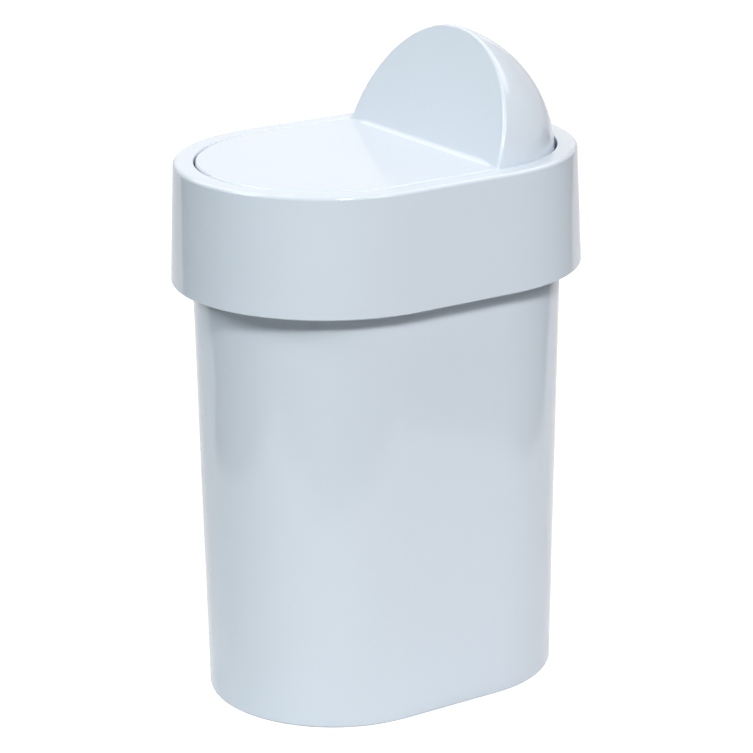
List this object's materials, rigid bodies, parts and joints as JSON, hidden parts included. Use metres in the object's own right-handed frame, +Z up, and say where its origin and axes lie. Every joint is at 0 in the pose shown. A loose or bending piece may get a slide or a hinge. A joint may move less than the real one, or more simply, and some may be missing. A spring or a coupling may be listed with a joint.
{
  "type": "countertop trash can with swing lid",
  "caption": "Countertop trash can: oval drafted bucket, lift-off collar that hides the bag's edge, and a swing lid with a flat plate and a rolling half dome.",
  "frame": {"origin": "on the table, under the middle of the bucket", "axes": "+Z up, +Y to the rear where the dome stands, -Y to the front where the flat plate lies; the lid turns about an axis along X"},
  "size_m": [0.115, 0.1554, 0.2408],
  "materials": {
    "bucket_plastic": "glossy moulded plastic, pale blue-grey white",
    "collar_plastic": "glossy moulded plastic, pale blue-grey white",
    "lid_plastic": "glossy moulded plastic, pale blue-grey white",
    "pin_plastic": "satin natural white plastic"
  },
  "bodies": {
    "bucket": {"bucket": "bucket_plastic"},
    "collar": {"collar": "collar_plastic"},
    "lid": {"lid": "lid_plastic", "pivot_pin_left": "pin_plastic", "pivot_pin_right": "pin_plastic"}
  },
  "joints": [
    {"name": "collar_lift", "type": "slide", "parent": "bucket", "child": "collar", "axis": [0, 0, 1], "range_m": [0, 0.05]},
    {"name": "lid_swing", "type": "hinge", "parent": "collar", "child": "lid", "pos_m": [0, 0.0202, 0.196], "axis": [-1, 0, 0], "range_deg": [0, 65]}
  ]
}
